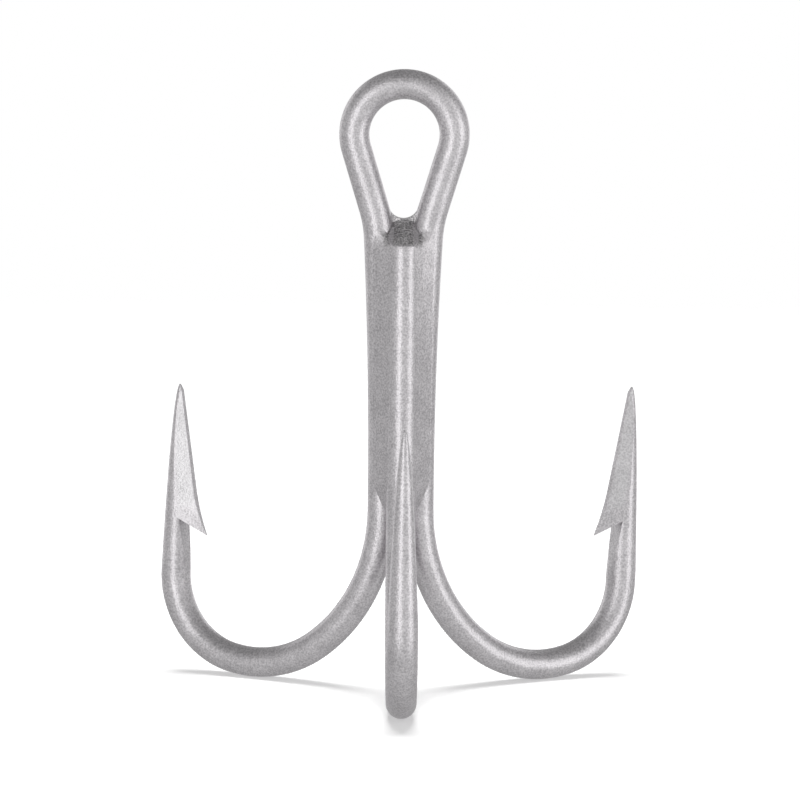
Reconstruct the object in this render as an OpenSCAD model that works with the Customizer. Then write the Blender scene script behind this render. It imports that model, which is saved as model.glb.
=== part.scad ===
// Treble fishing hook. One wire is bent into a double hook with the line eye in its middle. A second
// wire, the single hook, lies in the groove between its legs, and braze joins the two.
// Origin at the centre of the eye loop. Z runs up the shank and the eye's hole runs along Y. The
// single hook bends towards -Y, the double hook's ends towards 30 and 150 degrees. Millimetres.

/* [Wire] */
// diameter of both wires
wire_d = 2.4; // [2.3:0.05:2.45]

/* [Eye] */
// inner diameter of the loop's round top
eye_hole_d = 5.6; // [5.4:0.1:5.8]
// lean of the loop's two sides towards the shank, degrees
eye_lean = 17; // [16:0.5:18.5]
// bend radius where the loop's sides turn down into the shank
neck_bend_r = 10; // [9:0.5:11]

/* [Shank] */
// loop centre to the start of the bends
shank_length = 30.1; // [30:0.1:33]
// clear space between the two legs at the foot of the shank
leg_gap = 0.5; // [0.4:0.05:0.7]
// radius of the slight outward curve of the legs towards the eye
leg_curve_r = 370; // [350:5:380]
// opening angle of that curve, degrees
leg_curve = 3; // [2.8:0.1:3.1]

/* [Bends] */
// throat curve next to the shank, radius
throat_r = 14.1; // [13:0.1:15.5]
// throat curve, degrees
throat_turn = 56; // [52:1:58]
// floor curve, radius
floor_r = 10.2; // [9.5:0.1:11.5]
// floor curve, degrees
floor_turn = 46; // [42:1:50]
// heel curve below the point, radius
heel_r = 6.6; // [6:0.1:7.5]
// heel curve's end to the tip of the single hook's point
point_rise = 15.75; // [15.7:0.05:17]
// left point's extra rise, a bending tolerance
rise_left = -0.3; // [-0.3:0.05:0.3]
// right point's extra rise, a bending tolerance
rise_right = 0.2; // [-0.3:0.05:0.3]
// outward lean of the single hook's point, degrees
lean_front = 0; // [-2:0.5:3]
// outward lean of the left point, degrees
lean_left = -1; // [-2:0.5:3]
// outward lean of the right point, degrees
lean_right = 3; // [-2:0.5:3]

/* [Points] */
// length of the forged taper that ends in the tip
taper_length = 15.25; // [15:0.05:15.35]
// tip to the root of the barb's notch
notch_drop = 10.75; // [10.7:0.05:11]
// depth of that root below the round of the wire
notch_depth = 0.6; // [0.5:0.05:0.65]
// length of the chisel cut along the wire, below the notch
cut_length = 4.4; // [4.2:0.1:4.6]
// barb tip to the wire's centre line
barb_reach = 2.85; // [2.7:0.05:2.95]
// drop of the barb's tip below the notch
barb_drop = 1.45; // [1.3:0.05:1.5]
// width of the barb's tip between its ground facets
barb_tip_w = 0.09; // [0.08:0.01:0.16]

/* [Braze] */
// front edge of the single hook's bevelled top end, below the loop's centre
front_top = 8.75; // [8.65:0.05:9.2]
// slope of that bevelled end, degrees from level
bevel = 36; // [32:1:40]
// bottom of the eye's hole, below the loop's centre
hole_bottom = 6.8; // [6.7:0.05:6.95]
// start of the braze's fading end, above the start of the bends
braze_end = 1.4; // [1.2:0.1:2]
// how far the braze faces lie below the line that touches both wires
braze_sink = 0.05; // [0.04:0.01:0.1]

/* [Hidden] */
steel = [0.71, 0.70, 0.71];
solder = [0.66, 0.65, 0.66];
round_steps = 96;
least_steps = 6;
$fn = round_steps;
$grow = 0;

// wire: each run stops short of the next inside a joint ball a hair wider than the wire
wire_r = wire_d / 2;
joint_bead = 0.02;
joint_slack = 0.05;
side_turn = 30;
curve_parts = 2;

// legs and single wire: heights are below the loop's centre, offsets from the shank's axis
eye_r = eye_hole_d / 2 + wire_r;
loop_end = [eye_r * cos(eye_lean), eye_r * sin(eye_lean)];
leg_x = wire_r + leg_gap / 2;
leg_top_x = leg_x + leg_curve_r * (1 - cos(leg_curve));
loop_side = (loop_end.x - leg_top_x - neck_bend_r * (cos(leg_curve) - cos(eye_lean))) / sin(eye_lean);
neck_foot = loop_end.y + loop_side * cos(eye_lean) + neck_bend_r * (sin(eye_lean) - sin(leg_curve));
curve_foot = neck_foot + leg_curve_r * sin(leg_curve);
leg_foot = shank_length - curve_foot;
wire_clear = 0.05;
front_y = sqrt(pow(2 * wire_r, 2) - pow(leg_x, 2)) + wire_clear;
front_start = front_top - wire_d * tan(bevel);
heel_turn = 180 - throat_turn - floor_turn;
function curve_in(drop) =
  drop < curve_foot ? leg_curve_r - sqrt(pow(leg_curve_r, 2) - pow(curve_foot - drop, 2)) : 0;

// point: distances below the tip, offsets from the wire's centre line towards the shank
tip_r = 0.05;
taper_steps = 8;
blade_top = 0.5;
blade_base = 0.164;
blade_slope = 0.17;
lift_drop = 8.5;
blade_tail = 0.4;
blade_step = 1;
blade_over = 0.5;
root_clear = [0.3, 0.5];
facet_turn = 66.4;
facet_base = 0.23;
cutter = 4;
spare = 1;
barb_tip_drop = notch_drop + barb_drop;
blade_end = barb_tip_drop + blade_over;
facet_slope = (barb_reach * cos(facet_turn) + barb_tip_w / 2 * sin(facet_turn) - facet_base)
            / barb_tip_drop;
notch_in = wire_r - notch_depth;
blade_lift = (barb_reach - blade_base - blade_slope * barb_tip_drop)
           / pow(barb_tip_drop - lift_drop, 2);
function taper_drop(r) = taper_length * (pow(r, 2) - pow(tip_r, 2)) / (pow(wire_r, 2) - pow(tip_r, 2));
function taper_radius(drop) = wire_r * sqrt(drop / taper_length);
function blade_edge(drop) =
  blade_base + blade_slope * drop + blade_lift * pow(max(0, drop - lift_drop), 2);

// braze
fit = 0.01;
braze_steps = 6;
rear_steps = 10;
rear_clear = 0.07;
braze_face = wire_r - braze_sink;
braze_fade = 2;
seam_top = front_start;
channel_inset = [0.3, 0.45];
groove_inset = 0.15;
seam_foot = shank_length - braze_end + braze_fade;
shank_centre = front_y / 3;
fade_r = [3.2, 1];
hole_foot_r = 1.25;
web_over = 0.45;
neck_over = 0.9;
web_top = hole_bottom - web_over;
neck_drop = front_top - neck_over;

// one straight run of wire along +Z; children carry on from its end
module straight(len) {
  translate([0, 0, joint_slack])
    cylinder(h = len - 2 * joint_slack, r = wire_r + $grow);
  translate([0, 0, len]) {
    joint();
    children();
  }
}

// one bend of the wire from +Z towards +X; children carry on from its end
module bend(r, turn) {
  slack = joint_slack / r * 180 / PI;
  translate([r, 0, 0])
    rotate([90, 0, 180])
      rotate(slack)
        rotate_extrude(angle = turn - 2 * slack, $fn = max(round_steps, least_steps * 360 / turn))
          translate([r, 0])
            circle(r = wire_r + $grow, $fn = round_steps);
  translate([r * (1 - cos(turn)), 0, r * sin(turn)])
    rotate([0, turn, 0]) {
      joint();
      children();
    }
}

// a long slight curve as a chain of equal short bends
module curve(r, turn, parts) {
  if (parts == 1)
    bend(r, turn)
      children();
  else
    bend(r, turn / parts)
      curve(r, turn * (parts - 1) / parts, parts - 1)
        children();
}

module joint() {
  sphere(r = wire_r + joint_bead + $grow);
}

// everything beyond one ground facet of the point
module facet_cut(side, rise) {
  rotate(side * facet_turn)
    translate([facet_base, 0, rise])
      rotate([0, -atan(facet_slope), 0])
        translate([0, -cutter, spare - rise])
          cube([cutter, 2 * cutter, rise + spare]);
}

// a flat shape drawn as [towards the shank, drop below the tip], as thick as the wire needs
module across_point(half, rise) {
  translate([0, 0, rise])
    rotate([90, 0, 0])
      linear_extrude(height = 2 * half, center = true)
        scale([1, -1])
          children();
}

// forged and ground point with its raised barb, along +Z with the shank towards +X
module point(rise) {
  difference() {
    union() {
      rotate_extrude()
        polygon(concat(
          [[0, joint_slack], [wire_r, joint_slack]],
          [for (i = [taper_steps:-1:0])
            let (r = tip_r + (wire_r - tip_r) * i / taper_steps)
              [r, rise - taper_drop(r)]],
          [[0, rise]]));
      across_point(wire_r, rise)
        polygon(concat(
          [for (d = [blade_top:blade_step:blade_end]) [blade_edge(d), d]],
          [[notch_in, notch_drop] + root_clear],
          [for (d = [notch_drop - blade_step:-blade_step:blade_top])
            [blade_tail * taper_radius(d), d]]));
    }
    facet_cut(1, rise);
    facet_cut(-1, rise);
    across_point(cutter, rise)
      chisel_shape();
  }
}

// the chisel's path: under the barb, then along the planar cut that fades out down the wire
module chisel_shape() {
  reach = barb_reach + spare;
  length = cut_length + spare;
  fade = notch_depth / cut_length;
  polygon([
    [notch_in, notch_drop],
    [notch_in + reach, notch_drop + reach * barb_drop / (barb_reach - notch_in)],
    [notch_in + reach, notch_drop + length],
    [notch_in + fade * length, notch_drop + length]]);
}

// throat, floor and heel curves and the point, from the foot of a leg
module hook_end(lean, rise) {
  bend(throat_r, throat_turn)
    bend(floor_r, floor_turn)
      bend(heel_r, heel_turn - lean)
        point(rise);
}

// one side of the eye down to its neck; children follow
module eye_side() {
  translate([loop_end.x, 0, -loop_end.y])
    rotate([0, 180 + eye_lean, 0]) {
      joint();
      straight(loop_side)
        rotate(180)
          bend(neck_bend_r, eye_lean - leg_curve)
            children();
    }
}

// one side of the double hook down to the foot of its leg; children follow
module leg() {
  eye_side()
    curve(leg_curve_r, leg_curve, curve_parts)
      straight(leg_foot)
        children();
}

// round top of the eye loop, between the joints of its two sides
module loop() {
  slack = joint_slack / eye_r * 180 / PI;
  rotate([90, 0, 0])
    rotate(slack - eye_lean)
      rotate_extrude(angle = 180 + 2 * (eye_lean - slack))
        translate([eye_r, 0])
          circle(r = wire_r + $grow);
}

// single hook's shank, following the legs down their groove; children follow its foot
module front_shank() {
  turn = asin((curve_foot - front_start) / leg_curve_r);
  translate([0, curve_in(front_start) - front_y, -front_start])
    rotate(90)
      rotate([0, 180 + turn, 0])
        rotate(180)
          curve(leg_curve_r, turn, curve_parts)
            straight(leg_foot)
              rotate(180)
                children();
}

// everything above the bevelled top of the single hook and its braze
module bevel_cut() {
  front = wire_r + front_y - curve_in(front_top);
  translate([0, -front, -front_top])
    rotate([bevel, 0, 0])
      translate([-cutter, -spare, 0])
        cube([2 * cutter, cutter + spare, cutter]);
}

module double_hook() {
  color(steel) {
    loop();
    leg()
      rotate(-side_turn)
        hook_end(lean_right, point_rise + rise_right);
    mirror([1, 0, 0])
      leg()
        rotate(-side_turn)
          hook_end(lean_left, point_rise + rise_left);
  }
}

module single_hook() {
  color(steel)
    difference() {
      front_shank()
        hook_end(lean_front, point_rise);
      bevel_cut();
    }
}

// both wires along the shank, grown by the fit, as the tool that shapes the braze
module wires() {
  let ($grow = fit) {
    leg()
      rotate(-side_turn)
        bend(throat_r, throat_turn);
    mirror([1, 0, 0])
      leg()
        rotate(-side_turn)
          bend(throat_r, throat_turn);
    front_shank()
      bend(throat_r, throat_turn);
  }
}

// corners of the shank's cross-section where the wires' centres lie "rise" off their foot positions
function leg_at(rise) = [leg_x + rise, 0];
function front_at(rise) = [0, rise - front_y];
function outward(rise, depth) =
  let (across = leg_at(rise) - front_at(rise))
    [across.y, -across.x] * depth / norm(across);

// groove between the single wire and the right leg
module groove_shape(rise) {
  inner = outward(rise, groove_inset);
  outer = outward(rise, braze_face);
  polygon([leg_at(rise) + inner, leg_at(rise) + outer, front_at(rise) + outer, front_at(rise) + inner]);
}

// groove between the two legs at the back, with the channel enclosed by the three wires
module rear_shape(rise) {
  leg = leg_at(rise);
  tongue = leg - [channel_inset.x, 0];
  polygon([
    front_at(rise) + [0, channel_inset.y], tongue, leg + [0, braze_face],
    [-leg.x, braze_face], [-tongue.x, 0]]);
}

// rear groove and channel clear of the three round wires
module rear_fill(rise) {
  difference() {
    rear_shape(rise);
    for (centre = [leg_at(rise), -leg_at(rise), front_at(rise)])
      translate(centre)
        circle(r = wire_r + rear_clear);
  }
}

// everything outside the cone to which the foot of the braze fades
module foot_fade() {
  translate([0, -shank_centre, -seam_foot])
    rotate_extrude()
      polygon([[fade_r[0], braze_fade], [fade_r[0], -spare], [0, -spare], [fade_r[1], 0]]);
}

// braze in one front groove, in short straight steps that follow the wires
module front_seam() {
  step = (seam_foot - seam_top) / braze_steps;
  difference() {
    for (i = [1:braze_steps])
      translate([0, 0, -seam_top - i * step])
        linear_extrude(height = step + joint_slack)
          groove_shape(curve_in(seam_top + (i - 0.5) * step));
    wires();
    bevel_cut();
    foot_fade();
  }
}

module braze_front_right() {
  color(solder)
    front_seam();
}

module braze_front_left() {
  color(solder)
    mirror([1, 0, 0])
      front_seam();
}

// straight steps short enough to stay clear of the curving wires
module braze_rear() {
  step = (seam_foot - neck_drop) / rear_steps;
  color(solder)
    difference() {
      for (i = [1:rear_steps])
        translate([0, 0, -neck_drop - i * step])
          linear_extrude(height = step + (i > 1 ? joint_slack : 0))
            rear_fill(curve_in(neck_drop + (i - 0.5) * step));
      foot_fade();
    }
}

// web below the eye's hole, with a rounded top, running down into the bevelled end
module braze_neck() {
  color(solder)
    difference() {
      translate([0, 0, -neck_drop])
        linear_extrude(height = neck_drop - web_top)
          rear_shape(curve_in(web_top));
      translate([0, 0, hole_foot_r - hole_bottom])
        rotate([90, 0, 0])
          cylinder(h = 2 * cutter, r = hole_foot_r, center = true);
      let ($grow = fit) {
        eye_side();
        mirror([1, 0, 0])
          eye_side();
        front_shank();
      }
      bevel_cut();
    }
}

double_hook();
single_hook();
braze_front_left();
braze_front_right();
braze_rear();
braze_neck();
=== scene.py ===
import math

import bmesh
import bpy
import numpy as np
from mathutils import Matrix, Vector, noise as mu_noise


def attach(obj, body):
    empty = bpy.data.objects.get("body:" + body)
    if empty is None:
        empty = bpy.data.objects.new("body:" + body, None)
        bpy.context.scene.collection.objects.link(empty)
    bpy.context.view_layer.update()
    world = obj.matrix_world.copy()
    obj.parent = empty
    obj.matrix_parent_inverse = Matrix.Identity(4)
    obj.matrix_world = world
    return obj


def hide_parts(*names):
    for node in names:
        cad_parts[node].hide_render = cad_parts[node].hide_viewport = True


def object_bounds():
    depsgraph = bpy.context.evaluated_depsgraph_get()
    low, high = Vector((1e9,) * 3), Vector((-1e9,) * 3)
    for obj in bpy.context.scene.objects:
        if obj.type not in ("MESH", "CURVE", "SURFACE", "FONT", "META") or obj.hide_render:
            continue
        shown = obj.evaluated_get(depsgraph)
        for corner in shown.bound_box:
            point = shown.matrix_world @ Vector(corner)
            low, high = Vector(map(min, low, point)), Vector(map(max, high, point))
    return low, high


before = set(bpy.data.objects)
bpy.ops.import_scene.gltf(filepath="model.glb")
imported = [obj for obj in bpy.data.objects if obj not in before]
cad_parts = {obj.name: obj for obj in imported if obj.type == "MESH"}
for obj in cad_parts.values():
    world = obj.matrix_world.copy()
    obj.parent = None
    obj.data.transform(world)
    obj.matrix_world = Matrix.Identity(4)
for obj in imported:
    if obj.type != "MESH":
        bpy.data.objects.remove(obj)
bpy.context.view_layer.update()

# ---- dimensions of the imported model, in millimetres and degrees ----
MM = 0.001
WIRE_R = 1.2
WIRE_GAP = 0.05
EYE_R = 4.0
EYE_LEAN = 17.0
NECK_R = 10.0
SHANK = 30.1
LEG_X = 1.45
CURVE_R = 370.0
CURVE_TURN = 3.0
THROAT = (14.1, 56.0)
FLOOR = (10.2, 46.0)
HEEL_R = 6.6
POINT_RISE = {"front": 15.75, "left": 15.45, "right": 15.95}
LEAN = {"front": 0.0, "left": -1.0, "right": 3.0}
TAPER = 15.25
NOTCH_DROP = 10.75
NOTCH_IN = 0.6
CUT_LENGTH = 4.4
BARB_REACH = 2.85
BARB_DROP = 1.45
BLADE_BASE = 0.164
BLADE_SLOPE = 0.17
LIFT_DROP = 8.5
FACET_TURN = 66.4
FACET_BASE = 0.23
BARB_TIP_HALF = 0.045
FRONT_TOP = 8.75
BEVEL = 36.0
HOLE_BOTTOM = 6.8
HOLE_FOOT_R = 1.25

# the point's finish: where the ground facets end, how the barb's chip swells below that, and how the last
# of the tip closes in
GROUND_FOOT = 9.9
# the ground facets' lighter tone is a painted highlight: it fades in over the next length at their foot, and
# their borders take the share after it
GROUND_HIGHLIGHT_FADE = 0.25
BORDER_SHARE = 0.3
CHIP_SWELL = 0.05
CHIP_RUN = 0.5
CHIP_POWER = 0.7
TIP_RUN = 0.5
EDGE_HALF_LEAST = 0.012

BARB_TIP = NOTCH_DROP + BARB_DROP
BLADE_LIFT = (BARB_REACH - BLADE_BASE - BLADE_SLOPE * BARB_TIP) / (BARB_TIP - LIFT_DROP) ** 2
FACET_NORMAL = math.radians(FACET_TURN)
FACET_SLOPE = (BARB_REACH * math.cos(FACET_NORMAL) + BARB_TIP_HALF * math.sin(FACET_NORMAL)
               - FACET_BASE) / BARB_TIP
UNDERSIDE = BARB_DROP / (BARB_REACH - NOTCH_IN)
CUT_FOOT = NOTCH_DROP + CUT_LENGTH
FRONT_Y = math.sqrt((2 * WIRE_R) ** 2 - LEG_X ** 2) + WIRE_GAP
FRONT_START = FRONT_TOP - 2 * WIRE_R * math.tan(math.radians(BEVEL))

lean, curve = math.radians(EYE_LEAN), math.radians(CURVE_TURN)
LEG_TOP_X = LEG_X + CURVE_R * (1 - math.cos(curve))
LOOP_SIDE = (EYE_R * math.cos(lean) - LEG_TOP_X
             - NECK_R * (math.cos(curve) - math.cos(lean))) / math.sin(lean)
NECK_FOOT = (EYE_R * math.sin(lean) + LOOP_SIDE * math.cos(lean)
             + NECK_R * (math.sin(lean) - math.sin(curve)))
CURVE_FOOT = NECK_FOOT + CURVE_R * math.sin(curve)

# a ring round the wire: vertices on the blade's edge face, on one facet and on the round, per side, and
# where those parts would meet on a plain round section
EDGE_STEPS, FACET_STEPS, ROUND_STEPS = 2, 10, 20
PLAIN_EDGE, PLAIN_TURN = math.radians(8), math.radians(70)

# stations along the wires, and sections along the cut, the blade and the last of the tip
EYE_STEPS, SIDE_STEPS, NECK_STEPS, CURVE_STEPS, LEG_STEPS = 72, 6, 16, 24, 3
THROAT_STEPS, FLOOR_STEPS, HEEL_STEPS = 44, 36, 56
CUT_STEPS, BLADE_STEPS = 22, 42
ROOT_GAPS = (0.12, 0.03)
TIP_DROPS = (0.8, 0.62, 0.46, 0.32, 0.2, 0.11, 0.05, 0.015)
SOLVE_STEPS = 12


def curve_in(drop):
    """How far the wires have moved outward from their foot at a height above the curve's foot."""
    if drop >= CURVE_FOOT:
        return 0.0
    return CURVE_R - math.sqrt(CURVE_R ** 2 - (CURVE_FOOT - drop) ** 2)


def ease(x):
    x = max(0.0, min(1.0, x))
    return x * x * (3 - 2 * x)


class Path:
    """A wire's centre line as stations: place, normal, binormal and tangent, carried along without twist."""

    def __init__(self, place, tangent, normal):
        self.here = [np.array(place, float), np.array(normal, float),
                     np.cross(tangent, normal), np.array(tangent, float)]
        self.stations = [[v.copy() for v in self.here]]

    def straight(self, length, steps):
        start = self.here[0].copy()
        for k in range(1, steps + 1):
            self.here[0] = start + self.here[3] * length * k / steps
            self.stations.append([v.copy() for v in self.here])
        return self

    def bend(self, radius, turn, towards, steps):
        place, n, b, t = self.here
        side = math.cos(towards) * n + math.sin(towards) * b
        axis = np.cross(t, side)
        for k in range(1, steps + 1):
            a = math.radians(turn) * k / steps
            spin = [v * math.cos(a) + np.cross(axis, v) * math.sin(a)
                    + axis * axis.dot(v) * (1 - math.cos(a)) for v in (n, b, t)]
            self.here = [place + radius * (math.sin(a) * t + (1 - math.cos(a)) * side), *spin]
            self.stations.append([v.copy() for v in self.here])
        return self


def taper_radius(drop):
    return WIRE_R * math.sqrt(min(1.0, max(drop, 0.0) / TAPER))


def blade_edge(drop):
    return BLADE_BASE + BLADE_SLOPE * drop + BLADE_LIFT * max(0.0, drop - LIFT_DROP) ** 2


def facet_distance(drop):
    return FACET_BASE + FACET_SLOPE * drop


def edge_drop(drop):
    """Drop of the blade's edge on a section that leans down towards the barb's underside."""
    lean_share = max(0.0, min(1.0, (drop - LIFT_DROP) / (NOTCH_DROP - LIFT_DROP)))
    low = drop
    for _ in range(SOLVE_STEPS):
        low = drop + lean_share * UNDERSIDE * (blade_edge(low) - NOTCH_IN)
    return low


def blade_corner(drop):
    """Corner of the blade's edge and a facet, as (inward, across, drop), closing in at the tip."""
    low = edge_drop(drop)
    across = (facet_distance(low) - blade_edge(low) * math.cos(FACET_NORMAL)) / math.sin(FACET_NORMAL)
    share = min(1.0, drop / TIP_RUN) ** 0.5
    return blade_edge(low) * share, max(EDGE_HALF_LEAST, across) * share, low


def facet_foot(drop, x, y):
    """Angle where a facet from the corner (x, y) meets the round of the wire."""
    r = taper_radius(drop)
    if facet_distance(drop) < r:
        return FACET_NORMAL + math.acos(facet_distance(drop) / r)
    return math.atan2(y, x) + math.acos(min(1.0, r / math.hypot(x, y)))


def blade_half(drop):
    """Half a section of the blade: the edge face and one facet, without the round behind them."""
    r = taper_radius(drop)
    corner = blade_corner(drop)
    turn = facet_foot(drop, *corner[:2])
    foot = (r * math.cos(turn), r * math.sin(turn), drop)
    points = [(corner[0], corner[1] * k / EDGE_STEPS, corner[2], 0.0) for k in range(EDGE_STEPS)]
    swell = CHIP_SWELL * ease((drop - GROUND_FOOT) / CHIP_RUN)
    for k in range(FACET_STEPS):
        share = k / FACET_STEPS
        x, y, d = (c + (f - c) * share for c, f in zip(corner, foot))
        out = swell * math.sin(math.pi * share) ** CHIP_POWER
        inner = 0 < k < FACET_STEPS - 1
        # inner facet points take the lighter tone, a painted highlight; the facet borders take a part of it
        worked_and_painted_light = ease((GROUND_FOOT - d) / GROUND_HIGHLIGHT_FADE + 0.5) if inner else BORDER_SHARE
        points.append((x + out * math.cos(FACET_NORMAL), y + out * math.sin(FACET_NORMAL), d, worked_and_painted_light))
    return points, turn


def round_half(drop, cut):
    """The same part of a round section, with the chisel's flat across its inner side if it is cut."""
    r = taper_radius(drop)
    flat = r * math.cos(PLAIN_EDGE)
    if cut:
        flat = min(flat, NOTCH_IN + (WIRE_R - NOTCH_IN) / CUT_LENGTH * (drop - NOTCH_DROP))
    edge = math.acos(flat / r)
    if cut:
        points = [(flat, r * math.sin(edge) * k / EDGE_STEPS, drop, 0.0) for k in range(EDGE_STEPS)]
    else:
        turns = [edge * k / EDGE_STEPS for k in range(EDGE_STEPS)]
        points = [(r * math.cos(a), r * math.sin(a), drop, 0.0) for a in turns]
    turns = [edge + (PLAIN_TURN - edge) * k / FACET_STEPS for k in range(FACET_STEPS)]
    points += [(r * math.cos(a), r * math.sin(a), drop, 0.0) for a in turns]
    return points, PLAIN_TURN


def half_ring(kind, drop):
    """Half a section of the wire, from the inner edge round to the back, as (inward, across, drop, share),
    where share is 1 on a ground facet, whose lighter tone is a painted highlight, and 0 on the forged and
    drawn surface."""
    points, turn = blade_half(drop) if kind == "blade" else round_half(drop, kind == "scar")
    r = taper_radius(drop)
    turns = [turn + (math.pi - turn) * k / ROUND_STEPS for k in range(ROUND_STEPS + 1)]
    return points + [(r * math.cos(a), r * math.sin(a), drop, 0.0) for a in turns]


def ring(station, inward, kind, drop):
    """A closed ring of vertices at a station, from a half section mirrored across the hook's plane,
    each with its share of the ground facets' lighter tone, a painted highlight, as a fourth number."""
    place, n, b, t = station
    x_axis = math.cos(inward) * n + math.sin(inward) * b
    y_axis = np.cross(t, x_axis)
    half = half_ring(kind, drop)
    full = half + [(x, -y, d, g) for x, y, d, g in half[-2:0:-1]]
    return [np.append(place + x * x_axis + y * y_axis - (d - drop) * t, g) for x, y, d, g in full]


def point_drops():
    """Sections of the point from the heel to the tip: (kind, drop below the tip)."""
    drops = [("scar", d) for d in np.linspace(CUT_FOOT, NOTCH_DROP + ROOT_GAPS[0], CUT_STEPS)]
    drops += [("scar", NOTCH_DROP + ROOT_GAPS[1])]
    drops += [("blade", d) for d in np.linspace(NOTCH_DROP, 1.0, BLADE_STEPS)]
    return drops + [("blade", d) for d in TIP_DROPS]


def hook_rings(path, towards, side):
    """Rings of one hook below its foot: throat, floor, heel and point."""
    path.bend(*THROAT, towards, THROAT_STEPS).bend(*FLOOR, towards, FLOOR_STEPS)
    path.bend(HEEL_R, 180 - THROAT[1] - FLOOR[1] - LEAN[side], towards, HEEL_STEPS)
    rings = [ring(s, towards, "round", TAPER) for s in path.stations]
    place, n, b, t = path.here
    for kind, drop in point_drops():
        rings.append(ring([place + (POINT_RISE[side] - drop) * t, n, b, t], towards, kind, drop))
    return rings, np.append(place + POINT_RISE[side] * t, 1.0)


def mesh_object(name, vertices, faces):
    """A smooth object from points in millimetres; a fourth number is kept as the attribute that mixes in the
    tones of ground facets (painted highlight) and the ramp (rough grain and painted shade).
    """
    mesh = bpy.data.meshes.new(name)
    mesh.from_pydata([Vector(v[:3]) * MM for v in vertices], [], faces)
    if len(vertices[0]) > 3:
        worked_and_painted_light = mesh.attributes.new("worked_and_painted_light", "FLOAT", "POINT")
        worked_and_painted_light.data.foreach_set("value", np.array([v[3] for v in vertices], np.float32))
    bm = bmesh.new()
    bm.from_mesh(mesh)
    bmesh.ops.recalc_face_normals(bm, faces=bm.faces)
    bm.to_mesh(mesh)
    bm.free()
    finish_shading(mesh)
    obj = bpy.data.objects.new(name, mesh)
    bpy.context.scene.collection.objects.link(obj)
    return obj


def finish_shading(mesh, smooth_turn=28.0):
    mesh.shade_smooth()
    mesh.set_sharp_from_angle(angle=math.radians(smooth_turn))
    mesh.update()


def skin(rings, tips):
    """Vertices and faces of a tube through the rings, closed by a fan to each end's tip."""
    count = len(rings[0])
    vertices = [v for r in rings for v in r]
    faces = []
    for k in range(len(rings) - 1):
        for i in range(count):
            j = (i + 1) % count
            faces.append((k * count + i, k * count + j, (k + 1) * count + j, (k + 1) * count + i))
    for end, tip in ((0, tips[0]), (len(rings) - 1, tips[1])):
        if tip is None:
            faces.append(tuple(end * count + i for i in range(count)))
            continue
        vertices.append(tip)
        for i in range(count):
            faces.append((end * count + i, end * count + (i + 1) % count, len(vertices) - 1))
    return vertices, faces


def cut_by_plane(obj, place, normal, lowest):
    """Removes what lies on the plane's normal side above a height, and closes the cut."""
    bm = bmesh.new()
    bm.from_mesh(obj.data)
    high = [v for v in bm.verts if v.co.z > lowest * MM]
    edges = [e for e in bm.edges if all(v.co.z > lowest * MM for v in e.verts)]
    faces = [f for f in bm.faces if all(v.co.z > lowest * MM for v in f.verts)]
    made = bmesh.ops.bisect_plane(
        bm, geom=high + edges + faces, dist=1e-8,
        plane_co=Vector(place) * MM, plane_no=Vector(normal), clear_outer=True)
    rim = [e for e in made["geom_cut"] if isinstance(e, bmesh.types.BMEdge)]
    bmesh.ops.contextual_create(bm, geom=rim)
    bmesh.ops.recalc_face_normals(bm, faces=bm.faces)
    bm.to_mesh(obj.data)
    bm.free()
    finish_shading(obj.data)


# ---- the wires; the single wire is made a little too long, then cut along its bevel ----
SIDE_TURN = math.radians(30)
START_SPARE = 0.6
BEVEL_SINK = 0.15
BEVEL_LOWEST = -12.0


def leg_path():
    """Half of the double hook's wire, from the top of the eye to the foot of the right leg."""
    return (Path((0, 0, EYE_R), (1, 0, 0), (0, 0, -1))
            .bend(EYE_R, 90 + EYE_LEAN, 0, EYE_STEPS)
            .straight(LOOP_SIDE, SIDE_STEPS)
            .bend(NECK_R, EYE_LEAN - CURVE_TURN, math.pi, NECK_STEPS)
            .bend(CURVE_R, CURVE_TURN, math.pi, CURVE_STEPS)
            .straight(SHANK - CURVE_FOOT, LEG_STEPS))


def make_double_hook():
    towards = math.pi - SIDE_TURN
    right, right_tip = hook_rings(leg_path(), towards, "right")
    left, left_tip = hook_rings(leg_path(), towards, "left")
    flip = np.array((-1, 1, 1, 1))
    left = [[v * flip for v in r] for r in left]
    vertices, faces = skin(left[:0:-1] + right, (left_tip * flip, right_tip))
    return mesh_object("double_hook_wire", vertices, faces)


def bevel_plane():
    """A place on the single wire's bevelled top end and its normal, a little below the braze's ramp."""
    tilt = math.radians(BEVEL)
    normal = np.array((0, -math.sin(tilt), math.cos(tilt)))
    front = np.array((0, -(WIRE_R + FRONT_Y - curve_in(FRONT_TOP)), -FRONT_TOP))
    return front - BEVEL_SINK * normal, normal


def make_single_hook():
    top = FRONT_START - START_SPARE
    turn = math.asin((CURVE_FOOT - top) / CURVE_R)
    tangent = (0, -math.sin(turn), -math.cos(turn))
    normal = (0, math.cos(turn), -math.sin(turn))
    path = Path((0, curve_in(top) - FRONT_Y, -top), tangent, normal)
    path.bend(CURVE_R, math.degrees(turn), 0, CURVE_STEPS).straight(SHANK - CURVE_FOOT, LEG_STEPS)
    rings, tip = hook_rings(path, math.pi, "front")
    vertices, faces = skin(rings, (None, tip))
    obj = mesh_object("single_hook_wire", vertices, faces)
    cut_by_plane(obj, *bevel_plane(), BEVEL_LOWEST)
    return obj


# ---- the braze ----
NECK_END = 9.8
SEAM_FADE = 2.4
SEAM_HOLD = SHANK - SEAM_FADE
SEAM_END = SHANK + SEAM_FADE
FACE_H = WIRE_R - 0.006
FOOT_H = 0.1
GROOVE_SAG = 0.045
GROOVE_DEPTH = 0.02
BACK_SAG = 0.05
BACK_DEPTH = 0.1
SEAM_COLUMNS, BACK_COLUMNS = 15, 25
HOLD_ROWS, FADE_ROWS, ROW_GAP = 40, 32, 0.15
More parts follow.
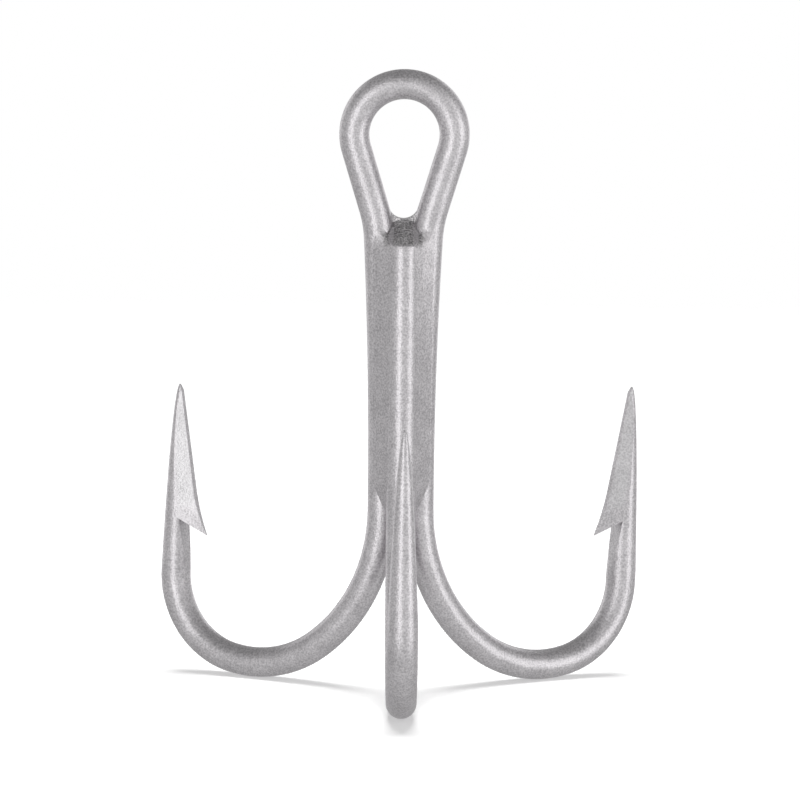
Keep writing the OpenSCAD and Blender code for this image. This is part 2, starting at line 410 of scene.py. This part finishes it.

# the neck: the ramp's height and softness, its half width, the shoulders beside it, its roughness, where it
# takes a darker grainy tone (rough braze grain and painted shade), its rows of vertices, and last the
# welding distance in metres
RAMP_LIFT, RAMP_SOFT = 0.07, 0.12
RAMP_HALF, RAMP_EDGE = 1.0, 0.55
SHOULDER_FOOT, SHOULDER_RUN, SHOULDER_LIFT = 9.3, 2.1, 0.03
CAST_DEPTH, CAST_RUN, SHOULDER_CALM = 0.02, 0.2, 0.6
CAST_AND_SHADE_RUN, CAST_AND_SHADE_HALF, CAST_AND_SHADE_EDGE = 0.3, 1.75, 0.5
NECK_SINK = 0.012
NECK_ROWS, RIM_GAP, RAMP_REACH, BELOW_RAMP = (16, 40, 6), 0.06, 0.4, 0.5
NECK_SMOOTH = 50
WELD = 2e-7


def bend_out(drop):
    """Sideways move of a wire in its throat curve, below the foot of the shank."""
    return THROAT[0] - math.sqrt(THROAT[0] ** 2 - max(0.0, drop - SHANK) ** 2)


def leg_centre(drop):
    out = bend_out(drop)
    x = LEG_X + curve_in(drop)
    if drop < NECK_FOOT:
        rise = math.sin(curve) + (NECK_FOOT - drop) / NECK_R
        x = LEG_TOP_X + NECK_R * (math.cos(curve) - math.sqrt(1 - rise * rise))
    return np.array((x + out * math.cos(SIDE_TURN), out * math.sin(SIDE_TURN)))


def front_centre(drop):
    return np.array((0.0, curve_in(drop) - FRONT_Y - bend_out(drop)))


def face_height(drop):
    return FACE_H - (FACE_H - FOOT_H) * ease((drop - SEAM_HOLD) / (SEAM_END - SEAM_HOLD))


def groove(drop):
    """The groove between the single wire and the right leg: its start, its direction and outward."""
    front = front_centre(drop)
    across = leg_centre(drop) - front
    return front, across, np.array((across[1], -across[0])) / np.linalg.norm(across)


def groove_face(drop):
    """Points across the braze's face in the right groove, from the single wire to the leg."""
    front, across, out = groove(drop)
    shares = [i / (SEAM_COLUMNS - 1) for i in range(SEAM_COLUMNS)]
    return [front + across * s + out * (face_height(drop) - GROOVE_SAG * 4 * s * (1 - s)) for s in shares]


def loft_columns(sections):
    """A closed loft through sections of (front row, back row), each with the same columns."""
    vertices, faces = [], []
    columns = len(sections[0][0])
    for front, back in sections:
        vertices += list(front) + list(back)
    size = 2 * columns
    for k in range(len(sections) - 1):
        a, b = k * size, (k + 1) * size
        for i in range(columns - 1):
            faces.append((a + i, a + i + 1, b + i + 1, b + i))
            faces.append((a + columns + i, b + columns + i, b + columns + i + 1, a + columns + i + 1))
        faces.append((a, b, b + columns, a + columns))
        last = columns - 1
        faces.append((a + last, a + size - 1, b + size - 1, b + last))
    for base in (0, (len(sections) - 1) * size):
        for i in range(columns - 1):
            faces.append((base + i, base + i + 1, base + columns + i + 1, base + columns + i))
    return vertices, faces


def seam_drops():
    return np.concatenate([np.linspace(NECK_END, SEAM_HOLD, HOLD_ROWS),
                           np.linspace(SEAM_HOLD + ROW_GAP, SEAM_END, FADE_ROWS)])


def make_seam(side):
    """Braze in the groove between the single wire and one leg, fading out at the foot."""
    sections = []
    for drop in seam_drops():
        front, across, out = groove(drop)
        faced = [(side * p[0], p[1], -drop) for p in groove_face(drop)]
        deep = [front + across * i / (SEAM_COLUMNS - 1) + out * GROOVE_DEPTH for i in range(SEAM_COLUMNS)]
        sections.append((faced, [(side * p[0], p[1], -drop) for p in deep]))
    return mesh_object("braze_seam_" + ("right" if side > 0 else "left"), *loft_columns(sections))


def back_face(drop, x):
    """The braze's rear face between the legs, and just inside the legs beyond them."""
    leg = leg_centre(drop)
    share = abs(x) / leg[0]
    if share <= 1:
        return leg[1] + face_height(drop) - BACK_SAG * (1 - share * share)
    return leg[1] + math.sqrt(max(0.0, face_height(drop) ** 2 - (abs(x) - leg[0]) ** 2))


def make_back_braze():
    """Braze in the rear groove and in the channel between the three wires."""
    sections = []
    for drop in seam_drops():
        leg, front = leg_centre(drop), front_centre(drop)
        fore, rear = [], []
        for i in range(BACK_COLUMNS):
            share = 2 * i / (BACK_COLUMNS - 1) - 1
            x = leg[0] * share
            rear.append((x, back_face(drop, x), -drop))
            fore.append((x, leg[1] + (front[1] - leg[1]) * (1 - abs(share)) + BACK_DEPTH, -drop))
        sections.append((fore, rear))
    return mesh_object("braze_back", *loft_columns(sections))


def smooth_max(a, b, soft):
    return 0.5 * (a + b + math.sqrt((a - b) ** 2 + soft * soft))


def ramp(x, y, z):
    """Pushes a point of the shank's front outline back: onto the bevelled ramp in the middle, and beside it
    gently onto the leg."""
    middle = y + (z + FRONT_TOP - RAMP_LIFT) / math.tan(math.radians(BEVEL))
    middle = smooth_max(y, middle, RAMP_SOFT)
    off = abs(x) - leg_centre(-z)[0]
    leg_face = -math.sqrt(max(0.0, WIRE_R ** 2 - off * off))
    beside = y + max(0.0, leg_face + SHOULDER_LIFT - y) * ease((z + SHOULDER_FOOT) / SHOULDER_RUN)
    blend = ease((abs(x) - RAMP_HALF) / RAMP_EDGE)
    pushed = middle * (1 - blend) + beside * blend
    rough = cast_noise(x, z) * CAST_DEPTH * ease((pushed - y) / CAST_RUN) * (1 - SHOULDER_CALM * blend)
    return min(0.0, pushed + rough)


def cast_noise(x, z):
    """Two octaves of smooth noise for the rough surface of the ramp."""
    return sum(share * mu_noise.noise(Vector((x * scale, z * scale, layer)))
               for share, scale, layer in ((1.0, 3.4, 1.7), (0.6, 8.1, 4.2)))


def make_neck_braze():
    """The web below the eye's hole and the rough bevelled ramp that runs down onto the single wire."""
    drops = np.concatenate([
        np.linspace(HOLE_BOTTOM - HOLE_FOOT_R, HOLE_BOTTOM, NECK_ROWS[0]),
        np.linspace(HOLE_BOTTOM + RIM_GAP, FRONT_TOP + RAMP_REACH, NECK_ROWS[1]),
        np.linspace(FRONT_TOP + BELOW_RAMP, NECK_END, NECK_ROWS[2])])
    sections = []
    for drop in drops:
        face = groove_face(drop)
        front, _, out = groove(drop)
        spread = math.atan2(out[0], -out[1])
        arc = [front + (WIRE_R - NECK_SINK) * np.array((math.sin(a), -math.cos(a)))
               for a in np.linspace(-spread, spread, SEAM_COLUMNS)[1:-1]]
        outline = [p * (-1, 1) for p in face[::-1]] + arc + face
        fore, rear = [], []
        for x, y in outline:
            z = -drop
            if abs(x) < HOLE_FOOT_R:
                z = min(z, HOLE_FOOT_R - HOLE_BOTTOM - math.sqrt(HOLE_FOOT_R ** 2 - x * x))
            deep = ramp(x, y, z)
            # the ramp takes the darker, grainier tone: rough braze grain, and painted shade of the
            # upward-facing ramp
            worked_and_painted_light = ease((deep - y) / CAST_AND_SHADE_RUN) * ease((CAST_AND_SHADE_HALF - abs(x)) / CAST_AND_SHADE_EDGE)
            fore.append((x, deep, z, worked_and_painted_light))
            rear.append((x, back_face(-z, x), z, 0.0))
        sections.append((fore, rear))
    obj = mesh_object("braze_neck_web", *loft_columns(sections))
    bm = bmesh.new()
    bm.from_mesh(obj.data)
    bmesh.ops.remove_doubles(bm, verts=bm.verts, dist=WELD)
    bmesh.ops.recalc_face_normals(bm, faces=bm.faces)
    bm.to_mesh(obj.data)
    bm.free()
    finish_shading(obj.data, NECK_SMOOTH)
    return obj


# ---- materials: noise scales per metre, bump heights in metres, and the parts of the noise in use ----
GRAIN_SCALE, PATCH_SCALE = 6800, 620
GRAIN_HEIGHT, WAVE_HEIGHT = 0.00003, 0.0004
GRAIN_SHARE, PATCH_SHARE = 0.72, 0.26
TONE_RANGE, WIDE_RANGE = (0.34, 0.66), (0.3, 0.7)


def node_tree(name):
    material = bpy.data.materials.new(name)
    material.use_nodes = True
    tree = material.node_tree
    return material, tree, tree.nodes["Principled BSDF"]


def noise(tree, where, scale, detail, rough):
    node = tree.nodes.new("ShaderNodeTexNoise")
    node.inputs["Scale"].default_value = scale
    node.inputs["Detail"].default_value = detail
    node.inputs["Roughness"].default_value = rough
    tree.links.new(where, node.inputs["Vector"])
    return node.outputs["Fac"]


def remap(tree, value, low, high, out_low, out_high):
    node = tree.nodes.new("ShaderNodeMapRange")
    node.clamp = True
    for key, number in (("From Min", low), ("From Max", high), ("To Min", out_low), ("To Max", out_high)):
        node.inputs[key].default_value = number
    tree.links.new(value, node.inputs["Value"])
    return node.outputs["Result"]


def mix_colour(tree, share, low, high):
    node = tree.nodes.new("ShaderNodeMix")
    node.data_type = "RGBA"
    for key, colour in (("A", low), ("B", high)):
        if isinstance(colour, tuple):
            node.inputs[key].default_value = (*colour, 1)
        else:
            tree.links.new(colour, node.inputs[key])
    tree.links.new(share, node.inputs["Factor"])
    return node.outputs["Result"]


def bump(tree, height, strength, distance, below=None):
    node = tree.nodes.new("ShaderNodeBump")
    node.inputs["Strength"].default_value = strength
    node.inputs["Distance"].default_value = distance
    tree.links.new(height, node.inputs["Height"])
    if below:
        tree.links.new(below, node.inputs["Normal"])
    return node.outputs["Normal"]


def plated(name, tones, worked_and_painted_light_tones, rough, grain_bump, wave_bump):
    """Satin plating: fine sparkling grain over a soft waviness, with faint patches of tone. An attribute of
    the
    mesh fades it to other tones: lighter on ground facets, a painted highlight, and darker on the rough
    ramp, partly painted shade."""
    material, tree, shader = node_tree(name)
    where = tree.nodes.new("ShaderNodeTexCoord").outputs["Object"]
    grain = noise(tree, where, GRAIN_SCALE, 1.5, 0.5)
    patch = noise(tree, where, PATCH_SCALE, 4, 0.5)
    tone = tree.nodes.new("ShaderNodeMath")
    tone.operation = "MULTIPLY_ADD"
    tone.inputs[1].default_value = GRAIN_SHARE
    tree.links.new(remap(tree, grain, *TONE_RANGE, 0.0, 1.0), tone.inputs[0])
    tree.links.new(remap(tree, patch, *WIDE_RANGE, 0.0, PATCH_SHARE), tone.inputs[2])
    plain = mix_colour(tree, tone.outputs[0], *tones)
    worked_and_painted_light = mix_colour(tree, tone.outputs[0], *worked_and_painted_light_tones)
    attribute = tree.nodes.new("ShaderNodeAttribute")
    attribute.attribute_name = "worked_and_painted_light"
    tree.links.new(mix_colour(tree, attribute.outputs["Fac"], plain, worked_and_painted_light), shader.inputs["Base Color"])
    shader.inputs["Metallic"].default_value = 1.0
    tree.links.new(remap(tree, grain, *WIDE_RANGE, *rough), shader.inputs["Roughness"])
    wave = bump(tree, patch, wave_bump, WAVE_HEIGHT)
    tree.links.new(bump(tree, grain, grain_bump, GRAIN_HEIGHT, wave), shader.inputs["Normal"])
    return material


def dress(piece, material, slot, *nodes):
    piece.data.materials.clear()
    piece.data.materials.append(material)
    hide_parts(*nodes)
    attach(piece, "root")


wire_tones = (0.50, 0.485, 0.50), (0.87, 0.845, 0.865)
# lighter tones for the ground facets: a painted highlight
ground_facet_highlight_tones = (0.56, 0.55, 0.56), (0.88, 0.865, 0.88)
braze_tones = (0.46, 0.446, 0.46), (0.84, 0.815, 0.835)
# darker, wider-ranging tones for the rough ramp: its grain, and painted shade
cast_grain_and_shade_tones = (0.16, 0.157, 0.162), (1.0, 0.98, 0.99)
wire_finish = plated("satin_plating", wire_tones, ground_facet_highlight_tones, (0.34, 0.46), 0.9, 0.08)
braze_finish = plated("satin_plating_on_braze", braze_tones, cast_grain_and_shade_tones, (0.36, 0.50), 1.0, 0.15)

dress(make_double_hook(), wire_finish, "plated_wire", "double_hook")
dress(make_single_hook(), wire_finish, "plated_wire", "single_hook")
dress(make_seam(1), braze_finish, "plated_braze", "braze_front_right")
dress(make_seam(-1), braze_finish, "plated_braze", "braze_front_left")
dress(make_back_braze(), braze_finish, "plated_braze", "braze_rear")
dress(make_neck_braze(), braze_finish, "plated_braze", "braze_neck")


# ---- floor, light and camera: metres and degrees, but millimetres for the camera's aim and pivot ----
DISC_R, DISC_FADE = 0.6, (0.07, 0.3)
CAMERA_AIM, CAMERA_PIVOT = (-0.14, 0, -21.33), (0, 0, -20)
CAMERA_YAW, CAMERA_RISE, CAMERA_ROLL = -0.713, 6.7, 0.6
CAMERA_DISTANCE, CAMERA_WIDTH, SENSOR = 0.581, 0.064, 36.0
LIGHT_AIM = (0, 0, -0.02)

# the surroundings' strength from front to back, and factors on it: axis, from, to, at from, at to
ROOM_STRENGTH = (-1.0, 0.6, 0.71, 0.5)
ROOM_FACTORS = (("Z", 0.2, 0.85, 1.0, 0.5), ("Z", -0.95, -0.1, 0.88, 1.0), ("X", -1.0, 1.0, 0.95, 1.07))


def make_floor():
    """A white floor disc whose edge fades into the white surroundings."""
    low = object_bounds()[0].z
    bm = bmesh.new()
    bmesh.ops.create_circle(bm, cap_ends=True, radius=DISC_R, segments=96)
    bmesh.ops.translate(bm, verts=bm.verts, vec=(0, 0, low))
    mesh = bpy.data.meshes.new("floor")
    bm.to_mesh(mesh)
    bm.free()
    floor = bpy.data.objects.new("floor", mesh)
    bpy.context.scene.collection.objects.link(floor)
    material, tree, shader = node_tree("pale_floor")
    shader.inputs["Base Color"].default_value = (0.8, 0.8, 0.8, 1)
    shader.inputs["Emission Color"].default_value = (1, 1, 1, 1)
    shader.inputs["Emission Strength"].default_value = 0.28
    shader.inputs["Roughness"].default_value = 0.9
    shader.inputs["Specular IOR Level"].default_value = 0.1
    where = tree.nodes.new("ShaderNodeTexCoord").outputs["Object"]
    distance = tree.nodes.new("ShaderNodeVectorMath")
    distance.operation = "LENGTH"
    tree.links.new(where, distance.inputs[0])
    tree.links.new(remap(tree, distance.outputs["Value"], *DISC_FADE, 1.0, 0.0), shader.inputs["Alpha"])
    mesh.materials.append(material)
    floor.visible_glossy = False


def area_light(name, place, aim, size, energy, shines=True):
    """A rectangular light; one that doesn't shine is left out of reflections."""
    data = bpy.data.lights.new(name, "AREA")
    data.shape = "RECTANGLE"
    data.size, data.size_y = size
    data.energy = energy
    light = bpy.data.objects.new(name, data)
    light.visible_glossy = shines
    light.location = place
    light.rotation_mode = "QUATERNION"
    light.rotation_quaternion = (Vector(aim) - Vector(place)).to_track_quat("-Z", "Y")
    bpy.context.scene.collection.objects.link(light)


def make_world():
    """White to the camera; to the metal a soft grey room, brighter in front and on the right."""
    world = bpy.data.worlds.new("studio")
    world.use_nodes = True
    tree = world.node_tree
    background = tree.nodes["Background"]
    background.inputs["Color"].default_value = (1, 1, 1, 1)
    where = tree.nodes.new("ShaderNodeTexCoord").outputs["Generated"]
    split = tree.nodes.new("ShaderNodeSeparateXYZ")
    tree.links.new(where, split.inputs[0])
    strength = remap(tree, split.outputs["Y"], *ROOM_STRENGTH)
    for axis, *span in ROOM_FACTORS:
        product = tree.nodes.new("ShaderNodeMath")
        product.operation = "MULTIPLY"
        tree.links.new(strength, product.inputs[0])
        tree.links.new(remap(tree, split.outputs[axis], *span), product.inputs[1])
        strength = product.outputs[0]
    path = tree.nodes.new("ShaderNodeLightPath")
    mix = tree.nodes.new("ShaderNodeMix")
    mix.inputs["B"].default_value = 1.0
    tree.links.new(path.outputs["Is Camera Ray"], mix.inputs["Factor"])
    tree.links.new(strength, mix.inputs["A"])
    tree.links.new(mix.outputs["Result"], background.inputs["Strength"])
    bpy.context.scene.world = world


def make_camera():
    aim, pivot = Vector(CAMERA_AIM) * MM, Vector(CAMERA_PIVOT) * MM
    yaw, rise, roll = (math.radians(a) for a in (CAMERA_YAW, CAMERA_RISE, CAMERA_ROLL))
    back = Vector((math.sin(yaw) * math.cos(rise), -math.cos(yaw) * math.cos(rise), math.sin(rise)))
    place = pivot + back * CAMERA_DISTANCE
    back = (place - aim).normalized()
    right = Vector((math.cos(yaw), math.sin(yaw), 0))
    up = back.cross(right).normalized()
    right = up.cross(back)
    x_axis = right * math.cos(roll) + up * math.sin(roll)
    y_axis = up * math.cos(roll) - right * math.sin(roll)
    data = bpy.data.cameras.new("camera")
    data.type = "PERSP"
    data.sensor_width = SENSOR
    data.lens = SENSOR * CAMERA_DISTANCE / CAMERA_WIDTH
    data.clip_start, data.clip_end = 0.01, 10.0
    camera = bpy.data.objects.new("camera", data)
    basis = Matrix((x_axis, y_axis, back)).transposed().to_4x4()
    camera.matrix_world = Matrix.Translation(place) @ basis
    bpy.context.scene.collection.objects.link(camera)
    bpy.context.scene.camera = camera


make_floor()
make_world()
area_light("key_left", (-0.26, -0.545, 0.0), LIGHT_AIM, (0.22, 0.5), 0.54)
area_light("key_right", (0.53, -0.29, 0.0), LIGHT_AIM, (0.24, 0.5), 0.47)
area_light("rim_left", (-0.42, 0.44, 0.1), LIGHT_AIM, (0.22, 0.5), 0.26)
area_light("rim_right", (0.3, 0.52, 0.1), LIGHT_AIM, (0.22, 0.5), 0.28)
area_light("floor_wash", (0, 0.12, 0.5), (0, 0, -0.04), (0.3, 0.3), 3.0, False)
make_camera()
bpy.context.scene.view_settings.view_transform = "Standard"
